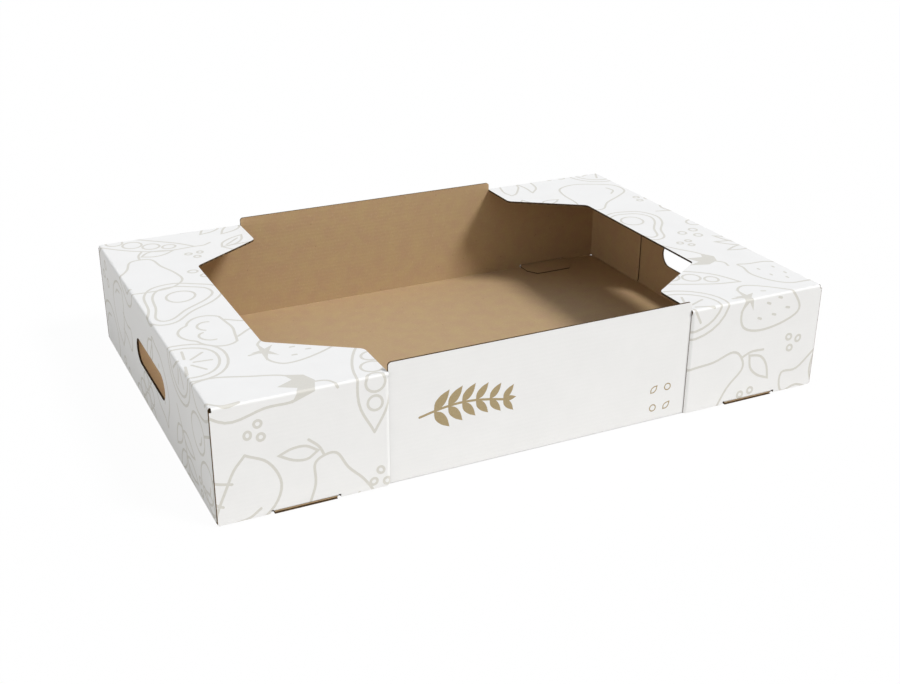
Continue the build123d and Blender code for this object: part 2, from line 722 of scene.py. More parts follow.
        lip = size.tab_half - size.crease_relief_inset
        on_lip = (np.abs(u - size.tab_centre) < lip) & (v < size.outer_half_width - self.margin)
        knife = (self.flap.runs[0] + self.tucked[0]) / 2
        on_end = (u > size.corner_half_length) & (v < knife)
        on_base = (v <= self.side.runs[0]) | on_lip | on_end
        on_flap = (u > self.corner_flap_end + self.margin) & (v > self.flap.runs[0])
        folded = np.where((u > self.corner.runs[0])[:, None], corner, side)
        folded = np.where(on_flap[:, None], flap, folded)
        folded = np.where((on_base & ~on_flap)[:, None], base, folded)
        folded[:, :2] *= np.where(flat < 0, -1.0, 1.0)
        return folded


@dataclass
class Drawing:
    """Lines and filled shapes of a motif, one unit high, and the room that it takes."""

    lines: list[list[Point]]
    fills: list[list[Point]] = field(default_factory=list)
    room: tuple[tuple[float, float, float], ...] = ((0.0, 0.0, 0.5),)


class Pen:
    """Draws smooth curves through given points, and strokes of ink along them."""

    span_steps = 5
    cap_steps = 4
    oval_steps = 28
    least_steps = 4
    least_step = 1e-6
    sharpest_turn = 0.6
    leaf_sides = ((0.3, 0.9), (0.65, 0.8))

    @staticmethod
    def curve(points: Sequence[Point], closed: bool = False) -> list[Point]:
        """Smooth curve through points.

        Args:
            points: Points that the curve goes through.
            closed: Whether it returns to the first.

        Returns:
            Closely spaced points; a closed curve ends where it starts.
        """
        pts = np.array(points, float)
        if closed:
            padded = np.vstack([pts[-1], pts, pts[:2]])
        else:
            padded = np.vstack([2 * pts[0] - pts[1], pts, 2 * pts[-1] - pts[-2]])
        drawn = []
        for before, a, b, after in zip(padded, padded[1:], padded[2:], padded[3:]):
            bend = 2 * before - 5 * a + 4 * b - after
            twist = 3 * a - before - 3 * b + after
            for k in range(Pen.span_steps):
                t = k / Pen.span_steps
                drawn.append(0.5 * (2 * a + (b - before) * t + bend * t**2 + twist * t**3))
        drawn.append(padded[-2])
        return [tuple(map(float, p)) for p in drawn]

    @staticmethod
    def mirrored(half: Sequence[Point]) -> list[Point]:
        """Closed smooth outline from its right half, whose first and last points are on the axis."""
        return Pen.curve([*half, *[(-x, y) for x, y in reversed(half[1:-1])]], closed=True)

    @staticmethod
    def oval(
        x: float,
        y: float,
        wide: float,
        high: float,
        start: float = 0.0,
        stop: float = 360.0,
    ) -> list[Point]:
        """Oval, or a part of it.

        Args:
            x: Place of its middle.
            y: Level of its middle.
            wide: Half its width.
            high: Half its height.
            start: First angle in degrees.
            stop: Last angle in degrees.

        Returns:
            Its points; a whole oval ends where it starts.
        """
        steps = max(Pen.least_steps, round(Pen.oval_steps * abs(stop - start) / 360))
        around = arc((0.0, 0.0), 1.0, math.radians(start), math.radians(stop), steps)
        return [(x + wide * a, y + high * b) for a, b in around]

    @staticmethod
    def leaf(root: Point, tip: Point, bulge: float) -> list[Point]:
        """Pointed leaf between two points.

        Args:
            root: Where it grows from.
            tip: Its point.
            bulge: Half its width, as a share of its length.

        Returns:
            Its closed outline.
        """
        a, b = np.array(root, float), np.array(tip, float)
        side = np.array([-(b - a)[1], (b - a)[0]]) * bulge
        right = [a + (b - a) * along + side * out for along, out in Pen.leaf_sides]
        left = [a + (b - a) * along - side * out for along, out in reversed(Pen.leaf_sides)]
        return Pen.curve([a, *right, b]) + Pen.curve([b, *left, a])[1:]

    @staticmethod
    def stroke(line: Sequence[Point], width: float) -> list[list[Point]]:
        """Convex pieces of a line of ink with round ends.

        Args:
            line: Points along its middle; it is closed if it ends where it starts.
            width: Width of the ink.

        Returns:
            The outline of each piece.
        """
        pts = np.array(line, float)
        steps = np.linalg.norm(np.diff(pts, axis=0), axis=1)
        pts = pts[np.concatenate([[True], steps > Pen.least_step])]
        closed = len(pts) > 3 and np.linalg.norm(pts[0] - pts[-1]) < Pen.least_step
        ahead = np.diff(pts, axis=0)
        ahead /= np.linalg.norm(ahead, axis=1)[:, None]
        into = np.vstack([ahead[-1] if closed else ahead[0], ahead])
        out = np.vstack([ahead, ahead[0] if closed else ahead[-1]])
        along = into + out
        along /= np.maximum(np.linalg.norm(along, axis=1), Pen.least_step)[:, None]
        stretch = 1 / np.clip((along * out).sum(1), Pen.sharpest_turn, 1.0)
        side = np.stack([-along[:, 1], along[:, 0]], 1) * (stretch * width / 2)[:, None]
        left, right = pts + side, pts - side
        pieces = []
        for k in range(len(pts) - 1):
            corners = [Vector(p) for p in (left[k], left[k + 1], right[k + 1], right[k])]
            pieces.append([corners[i] for i in convex_hull_2d(corners)])
        if not closed:
            for tip, toward in ((pts[0], -ahead[0]), (pts[-1], ahead[-1])):
                angle = math.atan2(toward[1], toward[0])
                pieces.append(arc(tuple(tip), width / 2, angle - QUARTER, angle + QUARTER, Pen.cap_steps))
        return [[tuple(map(float, p)) for p in piece] for piece in pieces]


class Motif(Enum):
    """Fruit, vegetables and leaves of the all-over print, with the height of each in millimetres."""

    PEAR = 116
    CHERRIES = 100
    SLICE = 84
    STRAWBERRY = 92
    PEA_POD = 134
    MUSHROOM = 90
    SPRIG = 110
    AVOCADO = 104
    GRAPES = 106
    AUBERGINE = 126
    PINEAPPLE = 138
    BROCCOLI = 96
    LEMON = 86
    BANANAS = 108
    SPROUT = 40
    DOTS = 26

    def drawing(self) -> Drawing:
        """Line drawing of the motif, one unit high."""
        return getattr(Garden, self.name.lower())()


class Garden:
    """Line drawings of the motifs, each about one unit high round its middle."""

    net_reach = 0.97
    net_least = 0.01

    @staticmethod
    def pear() -> Drawing:
        """Pear with a stalk, a leaf and a shine.

        Returns:
            The drawing.
        """
        body = [(0, 0.3), (0.1, 0.26), (0.15, 0.08), (0.26, -0.12), (0.31, -0.3), (0.2, -0.46), (0, -0.5)]
        lines = [
            Pen.mirrored(body),
            Pen.curve([(0, 0.3), (0.01, 0.4), (0.06, 0.5)]),
            Pen.leaf((0.03, 0.37), (0.33, 0.46), 0.22),
            Pen.curve([(-0.19, -0.2), (-0.2, -0.3), (-0.13, -0.38)]),
        ]
        return Drawing(lines, room=((0.0, -0.22, 0.34), (0.02, 0.18, 0.2), (0.15, 0.42, 0.18)))

    @staticmethod
    def cherries() -> Drawing:
        """Two cherries on their stalks under a leaf.

        Returns:
            The drawing.
        """
        lines = [
            Pen.oval(-0.2, -0.26, 0.19, 0.2),
            Pen.oval(0.24, -0.3, 0.19, 0.2),
            Pen.curve([(-0.18, -0.06), (-0.1, 0.18), (0.1, 0.42)]),
            Pen.curve([(0.22, -0.1), (0.2, 0.16), (0.1, 0.42)]),
            Pen.leaf((0.1, 0.42), (-0.34, 0.34), 0.2),
            Pen.curve([(0.02, 0.4), (-0.12, 0.38), (-0.22, 0.36)]),
            Pen.oval(-0.2, -0.26, 0.1, 0.1, 110, 190),
            Pen.oval(0.24, -0.3, 0.1, 0.1, 110, 190),
        ]
        return Drawing(lines, room=((-0.2, -0.26, 0.24), (0.24, -0.3, 0.24), (0.0, 0.24, 0.26)))

    @staticmethod
    def slice() -> Drawing:
        """Round slice of a citrus fruit.

        Returns:
            The drawing.
        """
        segments = 8
        lines = [Pen.oval(0, 0, 0.5, 0.5), Pen.oval(0, 0, 0.4, 0.4)]
        for k in range(segments):
            angle = math.radians(360 / segments * k + 20)
            lines.append([(r * math.cos(angle), r * math.sin(angle)) for r in (0.1, 0.31)])
        return Drawing(lines)

    @staticmethod
    def strawberry() -> Drawing:
        """Strawberry with seeds and a solid calyx.

        Returns:
            The drawing.
        """
        body = [(0, 0.28), (0.2, 0.33), (0.36, 0.2), (0.33, -0.05), (0.17, -0.34), (0, -0.48)]
        crown = []
        for k in range(5):
            angle = math.radians(90 + 72 * k)
            notch = math.radians(126 + 72 * k)
            crown.append((0.24 * math.cos(angle), 0.3 + 0.15 * math.sin(angle)))
            crown.append((0.07 * math.cos(notch), 0.3 + 0.05 * math.sin(notch)))
        seeds = [(-0.2, 0.06), (0.0, 0.02), (0.2, 0.06), (-0.1, -0.12), (0.11, -0.12), (0.0, -0.28)]
        lines = [Pen.mirrored(body), [(0.0, 0.34), (0.05, 0.48)]]
        lines += [[(x, y), (x, y - 0.045)] for x, y in seeds]
        return Drawing(lines, [crown], ((0.0, 0.05, 0.4), (0.0, -0.3, 0.24), (0.0, 0.34, 0.2)))

    @staticmethod
    def pea_pod() -> Drawing:
        """Open pea pod with five peas.

        Returns:
            The drawing.
        """
        upper = [(0.0, 0.5), (0.13, 0.3), (0.17, 0.0), (0.13, -0.3), (0.0, -0.5)]
        lower = [(0.0, -0.5), (-0.07, -0.3), (-0.09, 0.0), (-0.07, 0.3), (0.0, 0.5)]
        peas = [(0.02, 0.3, 0.05), (0.04, 0.16, 0.065), (0.045, 0.0, 0.075)]
        peas += [(0.04, -0.16, 0.065), (0.02, -0.3, 0.05)]
        lines = [Pen.curve(upper), Pen.curve(lower), Pen.curve([(0.0, 0.5), (-0.03, 0.56), (-0.1, 0.59)])]
        lines += [Pen.oval(x, y, r, r) for x, y, r in peas]
        return Drawing(lines, room=((0.03, 0.33, 0.18), (0.04, 0.0, 0.22), (0.03, -0.33, 0.18)))

    @staticmethod
    def mushroom() -> Drawing:
        """Mushroom with a ring of gills under its cap.

        Returns:
            The drawing.
        """
        cap = [(-0.42, 0.04), (-0.36, 0.28), (-0.14, 0.46), (0.14, 0.46), (0.36, 0.28), (0.42, 0.04)]
        stem = [(-0.12, -0.02), (-0.1, -0.22), (-0.15, -0.4), (0.0, -0.47)]
        stem += [(0.15, -0.4), (0.1, -0.22), (0.12, -0.02)]
        lines = [
            Pen.curve(cap),
            Pen.curve([(-0.42, 0.04), (-0.2, -0.05), (0.2, -0.05), (0.42, 0.04)]),
            Pen.curve(stem),
            Pen.curve([(-0.28, 0.16), (-0.22, 0.28), (-0.12, 0.35)]),
        ]
        return Drawing(lines, room=((0.0, 0.18, 0.42), (0.0, -0.3, 0.22)))

    @staticmethod
    def sprig() -> Drawing:
        """Stem with pairs of leaves.

        Returns:
            The drawing.
        """
        lines = [Pen.curve([(-0.04, -0.5), (0.02, -0.2), (0.0, 0.12), (0.03, 0.3)])]
        for level, reach in ((-0.28, 0.3), (-0.06, 0.28), (0.14, 0.22)):
            lines.append(Pen.leaf((0.0, level), (reach, level + 0.17), 0.22))
            lines.append(Pen.leaf((0.0, level - 0.03), (-reach, level + 0.14), 0.22))
        lines.append(Pen.leaf((0.03, 0.3), (0.05, 0.54), 0.24))
        return Drawing(lines, room=((0.0, -0.3, 0.26), (0.0, 0.0, 0.32), (0.02, 0.34, 0.22)))

    @staticmethod
    def avocado() -> Drawing:
        """Halved avocado with its stone.

        Returns:
            The drawing.
        """
        skin = [(0, 0.5), (0.13, 0.42), (0.2, 0.18), (0.33, -0.08), (0.34, -0.3), (0.2, -0.47), (0, -0.5)]
        flesh = [(0, 0.41), (0.08, 0.35), (0.14, 0.14), (0.25, -0.1), (0.26, -0.28)]
        flesh += [(0.15, -0.4), (0, -0.42)]
        lines = [Pen.mirrored(skin), Pen.mirrored(flesh), Pen.oval(0, -0.17, 0.13, 0.14)]
        return Drawing(lines, room=((0.0, -0.17, 0.37), (0.0, 0.25, 0.26)))

    @staticmethod
    def grapes() -> Drawing:
        """Bunch of grapes with a leaf.

        Returns:
            The drawing.
        """
        lines = []
        for row, count in enumerate((4, 3, 2, 1)):
            for k in range(count):
                lines.append(Pen.oval(0.19 * (k - (count - 1) / 2), 0.12 - 0.165 * row, 0.083, 0.083))
        lines.append(Pen.curve([(0.0, 0.2), (0.02, 0.36), (-0.04, 0.5)]))
        lines.append(Pen.leaf((0.01, 0.32), (0.34, 0.4), 0.28))
        return Drawing(lines, room=((0.0, 0.08, 0.38), (0.0, -0.24, 0.26), (0.12, 0.4, 0.22)))

    @staticmethod
    def aubergine() -> Drawing:
        """Aubergine with a solid cap.

        Returns:
            The drawing.
        """
        body = [(0.05, 0.3), (0.17, 0.2), (0.19, 0.0), (0.26, -0.26), (0.13, -0.47)]
        body += [(-0.1, -0.48), (-0.26, -0.28), (-0.2, 0.0), (-0.12, 0.22)]
        cap = [(-0.14, 0.2), (-0.1, 0.33), (0.0, 0.38), (0.12, 0.34)]
        cap += [(0.19, 0.18), (0.08, 0.24), (0.02, 0.12), (-0.05, 0.24)]
        lines = [
            Pen.curve(body, closed=True),
            Pen.curve([(0.02, 0.36), (0.03, 0.45), (0.1, 0.5)]),
            Pen.curve([(0.13, -0.16), (0.15, -0.28), (0.09, -0.37)]),
        ]
        return Drawing(lines, [cap], ((-0.01, -0.24, 0.3), (0.0, 0.14, 0.24), (0.04, 0.4, 0.14)))

    @staticmethod
    def pineapple() -> Drawing:
        """Pineapple: a net of slanted lines in an oval, under a crown of leaves.

        Returns:
            The drawing.
        """
        middle, wide, high = -0.16, 0.24, 0.34
        apart = math.hypot(wide, high) * 0.3
        lines = [Pen.oval(0, middle, wide, high)]
        for slope in (-1, 1):
            turn = math.atan2(high, wide) * slope
            toward = np.array([math.cos(turn), math.sin(turn)])
            aside = np.array([-math.sin(turn), math.cos(turn)])
            for k in range(-2, 3):
                start, stop = (half * toward + apart * k * aside for half in (-0.5, 0.5))
                lines.append(Garden.chord(start, stop, middle, wide, high))
        lines = [line for line in lines if line]
        for tip in ((-0.24, 0.36), (0.24, 0.36), (-0.12, 0.48), (0.12, 0.48), (0.0, 0.52)):
            lines.append(Pen.leaf((0.0, 0.18), tip, 0.14))
        return Drawing(lines, room=((0.0, -0.16, 0.32), (0.0, 0.3, 0.24)))

    @staticmethod
    def chord(start: np.ndarray, stop: np.ndarray, middle: float, wide: float, high: float) -> list[Point]:
        """Part of a straight line inside an oval.

        Args:
            start: A point of the line, measured from the oval's middle.
            stop: Another.
            middle: Height of the oval's middle.
            wide: Half its width.
            high: Half its height.

        Returns:
            The two ends, or nothing if the line misses the oval.
        """
        scale = np.array([wide, high])
        a, b = start / scale, (stop - start) / scale
        half = -(a @ b) / (b @ b)
        inside = half**2 - (a @ a - Garden.net_reach) / (b @ b)
        if inside < Garden.net_least:
            return []
        shares = [half + side * math.sqrt(inside) for side in (-1, 1)]
        return [tuple(start + (stop - start) * share + (0, middle)) for share in shares]

    @staticmethod
    def broccoli() -> Drawing:
        """Head of broccoli on its stalk.

        Returns:
            The drawing.
        """
        sweep, steps, florets = 216, 24, 2.5
        crown = []
        for k in range(steps + 1):
            angle = math.radians(-18 + sweep * k / steps)
            reach = 0.36 + 0.06 * abs(math.sin(math.radians(sweep * k / steps * florets)))
            crown.append((reach * math.cos(angle), 0.1 + 0.9 * reach * math.sin(angle)))
        stalk = [(-0.24, -0.05), (-0.1, -0.26), (-0.11, -0.46)]
        lines = [
            Pen.curve(crown),
            Pen.curve([crown[0], (0.2, -0.04), (0.0, -0.08), (-0.2, -0.04), crown[-1]]),
            Pen.curve([*stalk, *[(-x, y) for x, y in reversed(stalk)]]),
            Pen.oval(-0.12, 0.2, 0.11, 0.1, 20, 200),
            Pen.oval(0.14, 0.16, 0.11, 0.1, -20, 160),
        ]
        return Drawing(lines, room=((0.0, 0.16, 0.42), (0.0, -0.28, 0.24)))

    @staticmethod
    def lemon() -> Drawing:
        """Lemon with pores and a leaf.

        Returns:
            The drawing.
        """
        body = [(0.5, 0.0), (0.4, 0.08), (0.24, 0.27), (0.0, 0.33), (-0.26, 0.26), (-0.42, 0.06)]
        body += [(-0.5, 0.0), (-0.42, -0.1), (-0.26, -0.28), (0.0, -0.34), (0.24, -0.27), (0.4, -0.08)]
        lines = [Pen.curve(body, closed=True), Pen.leaf((-0.46, 0.04), (-0.2, 0.46), 0.22)]
        for x, y in ((0.08, 0.12), (-0.12, 0.02), (0.2, -0.06), (0.0, -0.16), (-0.2, -0.12)):
            lines.append([(x, y), (x + 0.03, y + 0.02)])
        return Drawing(lines, room=((0.12, 0.0, 0.36), (-0.22, 0.02, 0.34)))

    @staticmethod
    def bananas() -> Drawing:
        """Two bananas that hang from one stalk.

        Returns:
            The drawing.
        """
        outer = [(-0.3, 0.46), (-0.36, 0.1), (-0.22, -0.24), (0.08, -0.44), (0.3, -0.44)]
        between = [(0.3, -0.44), (0.1, -0.3), (-0.08, -0.06), (-0.18, 0.2), (-0.22, 0.46)]
        inner = [(-0.22, 0.46), (-0.04, 0.16), (0.14, 0.0), (0.36, -0.1), (0.46, -0.2)]
        lines = [
            Pen.curve(outer),
            Pen.curve(between),
            Pen.curve(inner),
            Pen.curve([(0.46, -0.2), (0.36, -0.25), (0.14, -0.24), (0.04, -0.2)]),
            [(-0.3, 0.46), (-0.27, 0.54), (-0.21, 0.54), (-0.22, 0.46)],
        ]
        return Drawing(lines, room=((-0.2, 0.24, 0.22), (-0.08, -0.12, 0.27), (0.26, -0.26, 0.25)))

    @staticmethod
    def sprout() -> Drawing:
        """Small pair of leaves that fills a gap.

        Returns:
            The drawing.
        """
        lines = [
            Pen.curve([(0.0, -0.5), (0.03, -0.2), (0.0, 0.0)]),
            Pen.leaf((0.0, 0.0), (0.42, 0.36), 0.26),
            Pen.leaf((0.0, 0.0), (-0.4, 0.4), 0.26),
        ]
        return Drawing(lines, room=((0.0, 0.05, 0.5),))

    @staticmethod
    def dots() -> Drawing:
        """Three berries that fill a gap.

        Returns:
            The drawing.
        """
        lines = [Pen.oval(0.3 * math.cos(a), 0.3 * math.sin(a), 0.13, 0.13) for a in (0.5, 2.6, 4.7)]
        return Drawing(lines, room=((0.0, 0.0, 0.5),))


@dataclass(frozen=True)
class Placing:
    """A motif's kind, height, place on the blank, turn in radians and handedness."""

    motif: Motif
    height: float
    place: Point
    turn: float
    flip: int

    wobble = 0.02
    wobble_waves = (5, 6)
    wobble_turns = (9, 7)

    def move(self, point: Point) -> Point:
        """Draws a point with a slightly unsteady hand, then turns, scales and moves it.

        Args:
            point: Point of the motif's drawing.

        Returns:
            Its place on the blank.
        """
        wave_x, wave_y = self.wobble_waves
        turn_x, turn_y = self.wobble_turns
        unsteady_x = point[0] + self.wobble * math.sin(wave_x * point[1] + turn_x * self.turn)
        unsteady_y = point[1] + self.wobble * math.sin(wave_y * point[0] + turn_y * self.turn)
        x, y = self.flip * unsteady_x * self.height, unsteady_y * self.height
        cos, sin = math.cos(self.turn), math.sin(self.turn)
        return self.place[0] + x * cos - y * sin, self.place[1] + x * sin + y * cos


class AllOverPrint:
    """Line drawings spread over end walls, shelves and outer flaps, as on a produce tray.

    Large motifs start in loose rows, push each other apart until they stand clear by the air
    between them, and small ones fill the gaps. Sizes are in millimetres.
    """

    line_width = 2.4
    air = 5.0
    columns = 3
    rows = 8
    jitter = 0.3
    scales = (0.86, 1.08)
    rounds = 260
    give = 0.3
    overlap_left = 1.0
    filler_air = 1.0
    filler_tries = 2500
    filler_scales = (1.25, 0.9)
    seeds = (11, 29)

    def __init__(self, blank: Blank) -> None:
        """Takes the blank that is printed.

        Args:
            blank: The sheet; motifs are laid from its end walls' feet to the outer flaps' free edges.
        """
        self.low = np.array([blank.end.start(1), -blank.foot_v])
        self.high = np.array([blank.mouth_u, blank.foot_v])
        self.drawings = {motif: motif.drawing() for motif in Motif}

    def scattered(self, dice: random.Random) -> list[Placing]:
        """Large motifs in loose rows, each kind far from the next of its kind.

        Args:
            dice: Source of the random turns and sizes.

        Returns:
            The motifs before they have made room for each other.
        """
        large = [motif for motif in Motif if motif not in (Motif.SPROUT, Motif.DOTS)]
        dice.shuffle(large)
        found = []
        for row in range(self.rows):
            for column in range(self.columns):
                share = np.array([column + 0.5 + 0.5 * (row % 2 - 0.5), row + 0.5])
                share += [dice.uniform(-self.jitter, self.jitter) for _ in range(2)]
                spot = self.low + (self.high - self.low) * share / (self.columns, self.rows)
                motif = large[len(found) % len(large)]
                height = motif.value * dice.uniform(*self.scales)
                turn = dice.uniform(-math.pi, math.pi)
                found.append(Placing(motif, height, tuple(spot), turn, dice.choice((-1, 1))))
        return found

    def circles(self, placing: Placing) -> np.ndarray:
        """Room that a placed motif takes: centre and radius of each circle, one row each."""
        room = self.drawings[placing.motif].room
        return np.array([(*placing.move((x, y)), r * placing.height) for x, y, r in room])

    def pushed(self, placed: Sequence[Placing]) -> tuple[list[Placing], np.ndarray]:
        """Lets crowded motifs push each other once.

        Args:
            placed: The motifs.

        Returns:
            The motifs, moved and turned a little, and how far each overlapped another.
        """
        rooms = [self.circles(placing) for placing in placed]
        owner = np.repeat(np.arange(len(placed)), [len(room) for room in rooms])
        rooms = np.vstack(rooms)
        apart = rooms[:, None, :2] - rooms[None, :, :2]
        gap = np.linalg.norm(apart, axis=2)
        overlap = np.maximum(rooms[:, None, 2] + rooms[None, :, 2] + self.air - gap, 0.0)
        overlap[owner[:, None] == owner[None]] = 0.0
        push = (apart * (overlap / np.maximum(gap, 1.0))[:, :, None]).sum(1) * self.give
        moved = []
        for k, placing in enumerate(placed):
            mine = push[owner == k]
            arm = rooms[owner == k, :2] - placing.place
            twist = (arm[:, 0] * mine[:, 1] - arm[:, 1] * mine[:, 0]).sum() / placing.height**2
            spot = np.clip(placing.place + mine.sum(0) / len(mine), self.low, self.high)
            moved.append(replace(placing, place=tuple(spot), turn=placing.turn + twist))
        return moved, np.array([overlap[owner == k].max() for k in range(len(placed))])

    def spread(self, along: int, seed: int) -> list[Placing]:
        """Fills one end of the blank with motifs that don't meet.

        Args:
            along: Sign of u at that end.
            seed: Seed of the random places.

        Returns:
            The motifs that found room.
        """
        dice = random.Random(seed)
        placed = self.scattered(dice)
        for _ in range(self.rounds):
            placed, overlaps = self.pushed(placed)
        while overlaps.max() > self.air + self.overlap_left:
            del placed[int(overlaps.argmax())]
            placed, overlaps = self.pushed(placed)
        taken = np.vstack([self.circles(placing) for placing in placed])
        for scale in self.filler_scales:
            for k in range(self.filler_tries):
                motif = (Motif.SPROUT, Motif.DOTS)[k % 2]
                spot = tuple(dice.uniform(a, b) for a, b in zip(self.low, self.high))
                filler = Placing(motif, scale * motif.value, spot, dice.uniform(-math.pi, math.pi), 1)
                ((x, y, r),) = self.circles(filler)
                if (np.hypot(taken[:, 0] - x, taken[:, 1] - y) > taken[:, 2] + r + self.filler_air).all():
                    taken = np.vstack([taken, (x, y, r)])
                    placed.append(filler)
        if along > 0:
            return placed
        return [
            replace(p, place=(-p.place[0], p.place[1]), turn=math.pi - p.turn, flip=-p.flip) for p in placed
        ]

    def patches(self) -> list[Patch]:
        """Ink of the print.

        Returns:
            Convex pieces of its lines, and its filled shapes.
        """
        found = []
        for along, seed in zip((-1, 1), self.seeds):
            placed = self.spread(along, seed)
            log.info("print at end %+d: %d motifs", along, len(placed))
            for placing in placed:
                drawing = self.drawings[placing.motif]
                for line in drawing.lines:
                    stroke = Pen.stroke([placing.move(point) for point in line], self.line_width)
                    found += [Patch(tuple(piece), Paper.LINE_INK) for piece in stroke]
                for shape in drawing.fills:
                    found.append(Patch(tuple(placing.move(point) for point in shape), Paper.LINE_INK))
        return found


@dataclass(frozen=True)
class FrontPrint:
    """Plain ornament on the front wall: a leafy sprig, and four small marks near the right flap.

    Places and widths are in millimetres on the wall. The stem's and leaves' reaches are shares of
    the sprig's length, their bow and rise are shares of half its height, and the losses are what
    each pair has less than the pair before it.
    """

    blank: Blank
    sprig_left: float = -122.0
    sprig_right: float = -30.0
    sprig_low: float = 40.0
    sprig_high: float = 81.0
    stem_width: float = 2.2
    stem_share: float = 0.86
    stem_bow: float = 0.28
    leaf_pairs: int = 6
    leaf_reach: float = 0.2
    leaf_reach_loss: float = 0.06
    leaf_lean: float = 0.8
    leaf_rise: float = 0.86
    leaf_rise_loss: float = 0.05
    leaf_bulge: float = 0.2
    marks_across: Pair = (115.0, 130.0)
    marks_up: Pair = (14.0, 33.0)
    mark_radius: float = 3.2
    mark_line: float = 1.1
    mark_bulge: float = 0.28

    def on_wall(self, shape: Iterable[Point]) -> list[Point]:
        """Places on the blank of places and levels on the front wall's face."""
        return [(x, -self.blank.wall_v(z)) for x, z in shape]

    def sprig(self) -> list[Patch]:
        """Sprig of solid leaves along a bowed stem.

        Returns:
            Its stem, pairs of leaves and last leaf.
        """
        middle = (self.sprig_low + self.sprig_high) / 2
        length = self.sprig_right - self.sprig_left
        half_high = (self.sprig_high - self.sprig_low) / 2
        stem = []
        for share in (k / self.leaf_pairs for k in range(self.leaf_pairs + 1)):
            bow = self.stem_bow * math.sin(math.pi * share) - self.stem_bow / 2
            stem.append((self.sprig_left + length * self.stem_share * share, middle + half_high * bow))
        found = Pen.stroke(Pen.curve(stem), self.stem_width)
        for k, (x, z) in enumerate(stem[1:]):
            reach = length * self.leaf_reach * (1 - self.leaf_reach_loss * k)
            for up in (-1, 1):
                rise = up * half_high * (self.leaf_rise - self.leaf_rise_loss * k)
                found.append(Pen.leaf((x, z), (x + reach * self.leaf_lean, z + rise), self.leaf_bulge))
        found.append(Pen.leaf(stem[-1], (self.sprig_right, stem[-1][1]), self.leaf_bulge))
        return [Patch(tuple(self.on_wall(shape)), Paper.SPOT_INK) for shape in found]

    def marks(self) -> list[Patch]:
        """Four small rings and leaves, two by two.

        Returns:
            Convex pieces of their lines.
        """
        found = []
        radius = self.mark_radius
        for column, x in enumerate(self.marks_across):
            for row, z in enumerate(self.marks_up):
                if column == row:
                    shape = Pen.oval(x, z, radius, radius)
                else:
                    shape = Pen.leaf((x - radius, z - radius), (x + radius, z + radius), self.mark_bulge)
                found += Pen.stroke(self.on_wall(shape), self.mark_line)
        return [Patch(tuple(piece), Paper.SPOT_INK) for piece in found]


@dataclass(frozen=True)
class Finish:
    """What every paper and ink has: two tones in clouds of a size, and how it reflects."""

    name: str
    colour: str
    shade: str
    cloud_mm: float
    roughness: float
    gloss: float
    octaves: float = 3.0
    ior: float = 1.48


@dataclass(frozen=True)
class Liner(Finish):
    """Finish with relief: the tooth of its paper, and the flutes that show through it."""

    tooth_mm: float = 0.9
    tooth_height_mm: float = 0.006
    washboard_mm: float = 0.012


@dataclass(frozen=True)
class CoatedLiner(Liner):
    """White-top liner, clay coated and calendered: smooth and matt, with the flutes just telegraphing.

    The grain of real coating is far under a millimetre; it is drawn coarser, so that it shows.
    """

    name: str = "white_coated_liner"
    colour: str = "F1F1EF"
    shade: str = "EFEFED"
    cloud_mm: float = 38.0
    roughness: float = 0.52
    gloss: float = 0.25


@dataclass(frozen=True)
class FlexoInk(CoatedLiner):
    """Water-based flexo ink on that liner: it sinks in, so it is matt and slightly mottled."""

    cloud_mm: float = 1.6
    octaves: float = 2.0
    roughness: float = 0.58
    gloss: float = 0.3


@dataclass(frozen=True)
class KraftLiner(Liner):
    """Unbleached kraft liner: brown, cloudy where fibres bunch, with loose fibres and specks.

    Real fibres are some hundredths of a millimetre wide and most specks are under half a
    millimetre. Both are drawn coarser, so that they show. The edges of a fibre are levels of its
    noise, and those of a speck are shares of the distance between specks.
    """

    name: str = "unbleached_kraft_liner"
    colour: str = "BAA179"
    shade: str = "B79A79"
    cloud_mm: float = 17.0
    roughness: float = 0.62
    gloss: float = 0.3
    tooth_mm: float = 0.8
    tooth_height_mm: float = 0.012
    washboard_mm: float = 0.016
    fibre: str = "CFB998"
    fibre_mm: float = 0.8
    fibre_stretch: float = 4.0
    fibre_curl: float = 0.8
    fibre_edges: Pair = (0.58, 0.74)
    fibre_share: float = 0.3
    speck: str = "8A6E50"
    speck_apart_mm: float = 13.0
    speck_edges: Pair = (0.07, 0.03)
    speck_share: float = 0.5


@dataclass(frozen=True)
class FlutingPaper(Finish):
    """Fluting medium and raw cut edges: rough, dull and grey brown. It also fills the painted shade strips
    along the outer flaps' corner cuts.
    """

    name: str = "fluting_medium_raw_edge"
    colour: str = "7C674C"
    shade: str = "624E39"
    cloud_mm: float = 5.0
    roughness: float = 0.95
    gloss: float = 0.08


